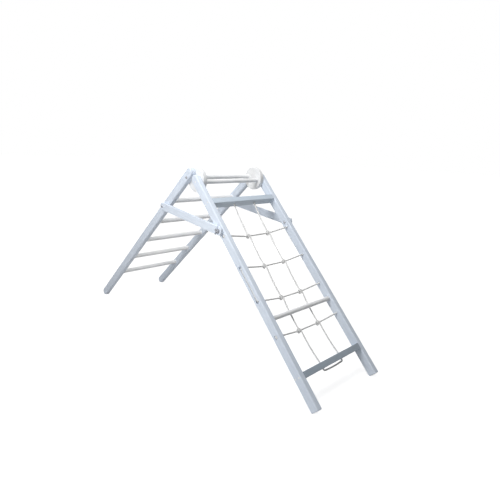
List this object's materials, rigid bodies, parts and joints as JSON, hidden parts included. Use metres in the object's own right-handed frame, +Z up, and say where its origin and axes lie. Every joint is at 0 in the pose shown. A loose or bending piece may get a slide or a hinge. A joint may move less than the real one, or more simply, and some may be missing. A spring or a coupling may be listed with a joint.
{
  "type": "folding climbing ladder",
  "caption": "Wooden folding A-frame climbing ladder: a rope-net frame and a rung frame meet at round cheeks with two grip bars and are held open by flat side braces.",
  "frame": {"origin": "on the floor, under the middle of the whole ladder", "axes": "+X to the ladder's right when it is seen from the net side, +Y from the net frame to the rung frame, +Z up"},
  "size_m": [0.666, 2.2681, 1.1341],
  "materials": {
    "blue_grey_paint": "painted, satin",
    "slate_paint": "painted, satin",
    "white_paint": "painted, satin",
    "white_rope": "twisted rope",
    "zinc_steel": "zinc plated",
    "white_enamel": "white enamel"
  },
  "bodies": {
    "front_frame": {"front_rail_left": "blue_grey_paint", "front_rail_right": "blue_grey_paint", "top_board": "blue_grey_paint", "bottom_board": "slate_paint", "middle_rung": "white_paint", "side_disc_left": "white_paint", "side_disc_right": "white_paint", "front_bar": "white_paint", "rear_bar": "white_paint", "top_board_screw_left_1": "white_enamel", "top_board_screw_left_2": "white_enamel", "bottom_board_screw_left_1": "white_enamel", "bottom_board_screw_left_2": "white_enamel", "bar_screw_left": "white_enamel", "disc_screw_left_1": "white_enamel", "disc_screw_left_2": "white_enamel", "bar_insert_left": "zinc_steel", "pivot_bolt_left": "zinc_steel", "clamp_bolt_left": "zinc_steel", "clamp_washer_left": "zinc_steel", "top_board_screw_right_1": "white_enamel", "top_board_screw_right_2": "white_enamel", "bottom_board_screw_right_1": "white_enamel", "bottom_board_screw_right_2": "white_enamel", "bar_screw_right": "white_enamel", "disc_screw_right_1": "white_enamel", "disc_screw_right_2": "white_enamel", "bar_insert_right": "zinc_steel", "pivot_bolt_right": "zinc_steel", "clamp_bolt_right": "zinc_steel", "clamp_washer_right": "zinc_steel", "cross_rope": "white_rope", "long_rope": "white_rope"},
    "rear_frame": {"rear_leg_left": "blue_grey_paint", "rear_leg_right": "blue_grey_paint", "rear_rung_1": "white_paint", "rear_rung_2": "white_paint", "rear_rung_3": "white_paint", "rear_rung_4": "white_paint", "rear_rung_5": "white_paint", "brace_bolt_left": "zinc_steel", "brace_bolt_right": "zinc_steel", "brace_nut_left": "zinc_steel", "brace_nut_right": "zinc_steel"},
    "brace_left": {"brace_left": "blue_grey_paint"},
    "brace_right": {"brace_right": "blue_grey_paint"},
    "wing_nut_left": {"clamp_wing_nut_left": "zinc_steel"},
    "wing_nut_right": {"clamp_wing_nut_right": "zinc_steel"}
  },
  "joints": [
    {"name": "frame_hinge", "type": "hinge", "parent": "front_frame", "child": "rear_frame", "pos_m": [0, -0.0542, 1.06786], "axis": [-1, 0, 0], "range_deg": [0, 90]},
    {"name": "brace_hinge_left", "type": "hinge", "parent": "rear_frame", "child": "brace_left", "pos_m": [-0.2993, 0.18368, 0.86569], "axis": [1, 0, 0], "range_deg": [0, 130]},
    {"name": "brace_hinge_right", "type": "hinge", "parent": "rear_frame", "child": "brace_right", "pos_m": [0.2993, 0.18368, 0.86569], "axis": [1, 0, 0], "range_deg": [0, 130]},
    {"name": "wing_nut_turn_left", "type": "hinge", "parent": "front_frame", "child": "wing_nut_left", "pos_m": [-0.316, -0.37814, 0.79744], "axis": [-1, 0, 0], "continuous": true},
    {"name": "wing_nut_turn_right", "type": "hinge", "parent": "front_frame", "child": "wing_nut_right", "pos_m": [0.316, -0.37814, 0.79744], "axis": [1, 0, 0], "continuous": true}
  ],
  "couplings": [
    {"joint": "brace_hinge_left", "follows": "frame_hinge", "ratio": 1.4368},
    {"joint": "brace_hinge_right", "follows": "frame_hinge", "ratio": 1.4368}
  ]
}
